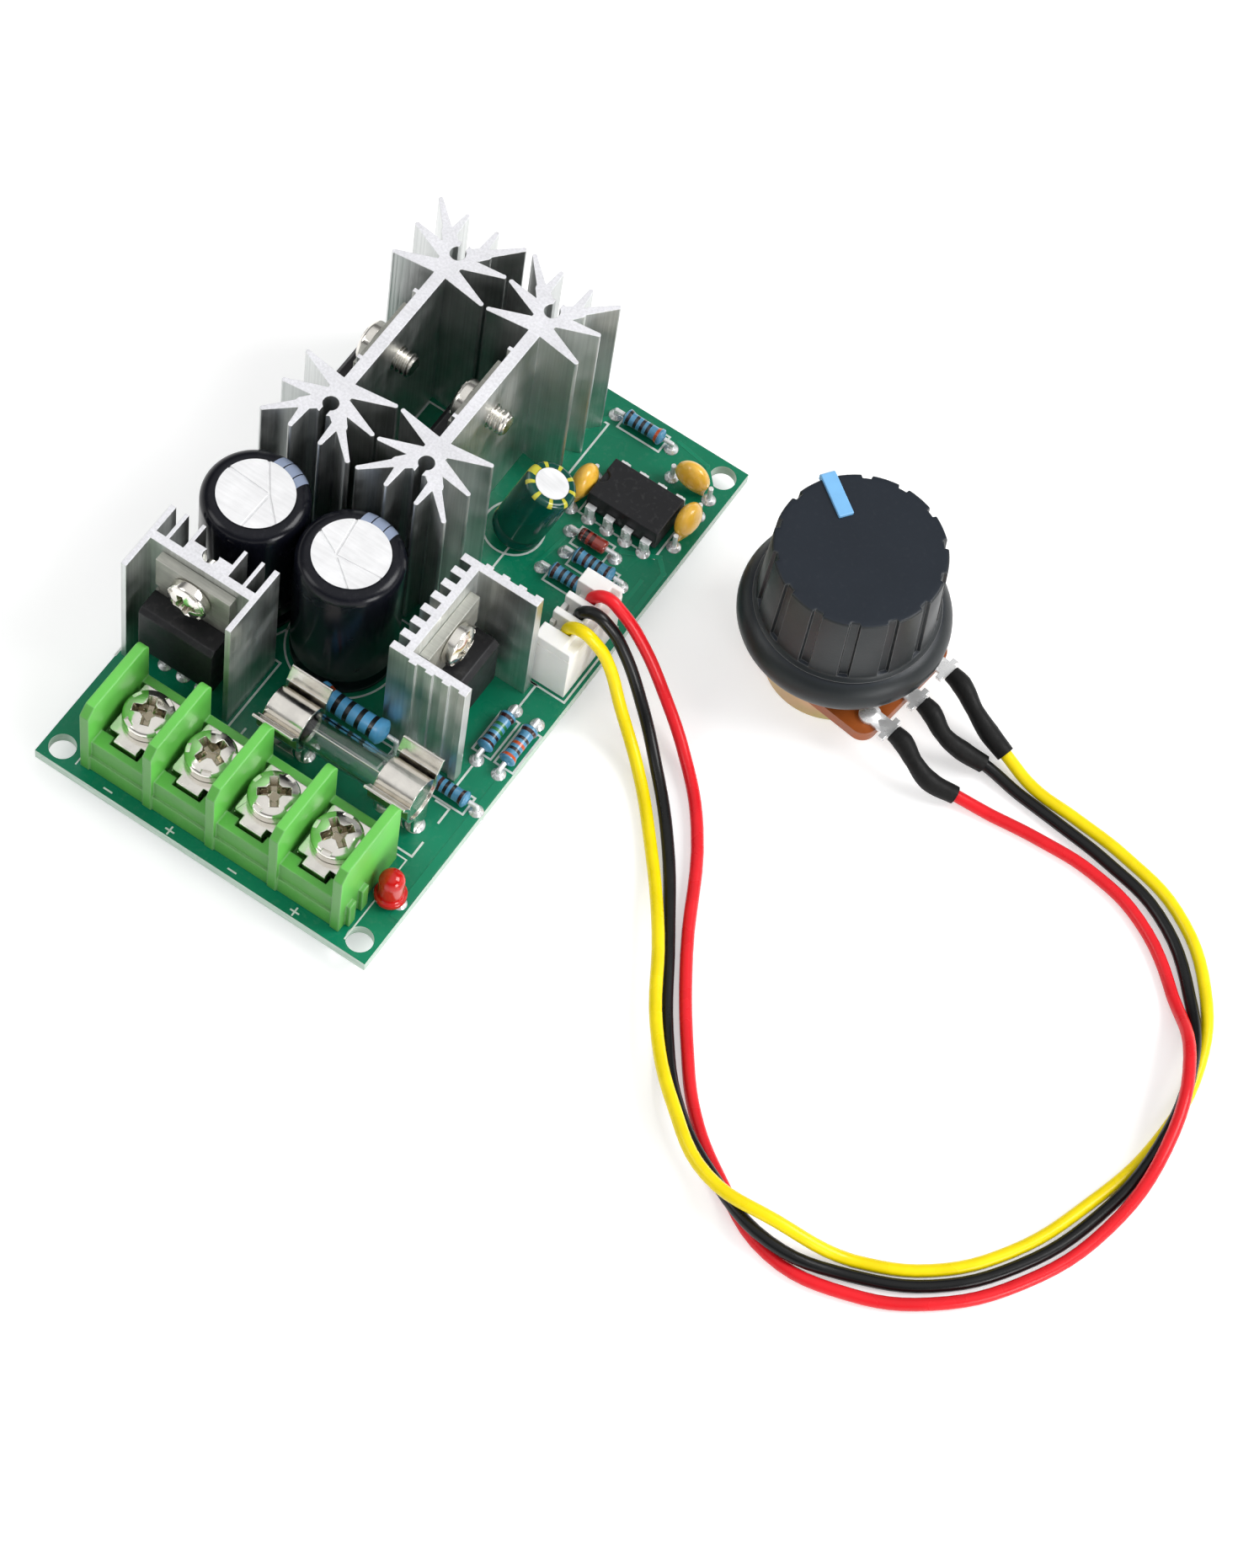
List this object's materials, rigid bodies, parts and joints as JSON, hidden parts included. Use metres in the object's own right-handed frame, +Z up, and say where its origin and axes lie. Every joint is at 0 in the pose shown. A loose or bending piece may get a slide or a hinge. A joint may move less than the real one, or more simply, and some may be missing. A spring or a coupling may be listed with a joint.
{
  "type": "dc motor speed controller",
  "caption": "Bare-board DC motor speed controller: screw terminals, fuse, finned heat sinks, capacitors and a plug-in rotary control knob on three wires.",
  "frame": {"origin": "centre of the four mounting holes, on the underside of the circuit board", "axes": "+Z up out of the component side, +X to the right with the terminals in front, +Y away from the terminals"},
  "size_m": [0.1296, 0.0808, 0.0286],
  "materials": {
    "board": "glossy solder mask",
    "solder": "bright",
    "terminal_plastic": "satin",
    "nickel": "bright",
    "aluminium": "satin",
    "tinned_copper": "bright",
    "steel": "satin",
    "black_plastic": "matte",
    "black_sleeve": "glossy",
    "can_top": "satin",
    "green_sleeve": "glossy",
    "yellow_coat": "glossy",
    "pale_blue_coat": "glossy",
    "blue_coat": "satin",
    "red_glass": "glossy",
    "lamp_red": "glossy",
    "white_nylon": "satin",
    "yellow_wire": "glossy",
    "black_wire": "glossy",
    "red_wire": "glossy",
    "shrink_tube": "matte",
    "gold_plate": "satin",
    "brown_laminate": "satin",
    "carbon": "matte",
    "silver_plate": "bright",
    "knob_plastic": "satin",
    "pointer_plastic": "glossy",
    "fuse_glass": "clear"
  },
  "bodies": {
    "board_assembly": {"board": "board", "solder_joints": "solder", "terminal_body": "terminal_plastic", "terminal_bases": "nickel", "fuse_clips": "nickel", "star_sink_left": "aluminium", "star_sink_right": "aluminium", "sink_left": "aluminium", "sink_right": "aluminium", "sink_pins": "solder", "transistor_tabs": "tinned_copper", "transistor_cases": "black_plastic", "transistor_leads": "tinned_copper", "transistor_screws": "steel", "capacitor_sleeves": "black_sleeve", "capacitor_cans": "can_top", "small_capacitor_sleeve": "green_sleeve", "small_capacitor_can": "can_top", "ceramic_capacitors": "yellow_coat", "small_resistors": "pale_blue_coat", "power_resistor": "blue_coat", "diode": "red_glass", "lamp": "lamp_red", "chip": "black_plastic", "chip_pins": "tinned_copper", "component_leads": "tinned_copper", "header": "white_nylon", "header_pins": "tinned_copper", "plug": "white_nylon", "plug_contacts": "tinned_copper", "wire_yellow": "yellow_wire", "wire_black": "black_wire", "wire_red": "red_wire", "wire_sleeves": "shrink_tube", "control_can": "gold_plate", "control_wafer": "brown_laminate", "control_track": "carbon", "control_lugs": "silver_plate", "control_front": "gold_plate", "control_nut": "nickel"},
    "fuse": {"fuse_glass": "fuse_glass", "fuse_caps": "nickel", "fuse_wire": "nickel"},
    "knob": {"knob": "knob_plastic", "pointer": "pointer_plastic", "control_shaft": "aluminium", "control_rotor": "black_plastic", "control_wiper": "silver_plate"},
    "clamp_1": {"terminal_clamp_1": "nickel"},
    "screw_1": {"terminal_screw_1": "nickel"},
    "clamp_2": {"terminal_clamp_2": "nickel"},
    "screw_2": {"terminal_screw_2": "nickel"},
    "clamp_3": {"terminal_clamp_3": "nickel"},
    "screw_3": {"terminal_screw_3": "nickel"},
    "clamp_4": {"terminal_clamp_4": "nickel"},
    "screw_4": {"terminal_screw_4": "nickel"}
  },
  "joints": [
    {"name": "clamp_lift_1", "type": "slide", "parent": "board_assembly", "child": "clamp_1", "axis": [0, 0, 1], "range_m": [0, 0.0025]},
    {"name": "screw_turn_1", "type": "hinge", "parent": "clamp_1", "child": "screw_1", "pos_m": [-0.0125, -0.0315, 0.0085], "axis": [0, 0, 1], "range_deg": [0, 1800]},
    {"name": "clamp_lift_2", "type": "slide", "parent": "board_assembly", "child": "clamp_2", "axis": [0, 0, 1], "range_m": [0, 0.0025]},
    {"name": "screw_turn_2", "type": "hinge", "parent": "clamp_2", "child": "screw_2", "pos_m": [-0.004, -0.0315, 0.0085], "axis": [0, 0, 1], "range_deg": [0, 1800]},
    {"name": "clamp_lift_3", "type": "slide", "parent": "board_assembly", "child": "clamp_3", "axis": [0, 0, 1], "range_m": [0, 0.0025]},
    {"name": "screw_turn_3", "type": "hinge", "parent": "clamp_3", "child": "screw_3", "pos_m": [0.0045, -0.0315, 0.0085], "axis": [0, 0, 1], "range_deg": [0, 1800]},
    {"name": "clamp_lift_4", "type": "slide", "parent": "board_assembly", "child": "clamp_4", "axis": [0, 0, 1], "range_m": [0, 0.0025]},
    {"name": "screw_turn_4", "type": "hinge", "parent": "clamp_4", "child": "screw_4", "pos_m": [0.013, -0.0315, 0.0085], "axis": [0, 0, 1], "range_deg": [0, 1800]},
    {"name": "fuse_lift", "type": "slide", "parent": "board_assembly", "child": "fuse", "axis": [0, 0, 1], "range_m": [0, 0.012]},
    {"name": "knob_turn", "type": "hinge", "parent": "board_assembly", "child": "knob", "pos_m": [0.043, 0.026, 0.01], "axis": [0, 0, 1], "range_deg": [-120, 180]}
  ],
  "couplings": [
    {"joint": "screw_turn_1", "follows": "clamp_lift_1", "rad_per_m": 12566},
    {"joint": "screw_turn_2", "follows": "clamp_lift_2", "rad_per_m": 12566},
    {"joint": "screw_turn_3", "follows": "clamp_lift_3", "rad_per_m": 12566},
    {"joint": "screw_turn_4", "follows": "clamp_lift_4", "rad_per_m": 12566}
  ]
}
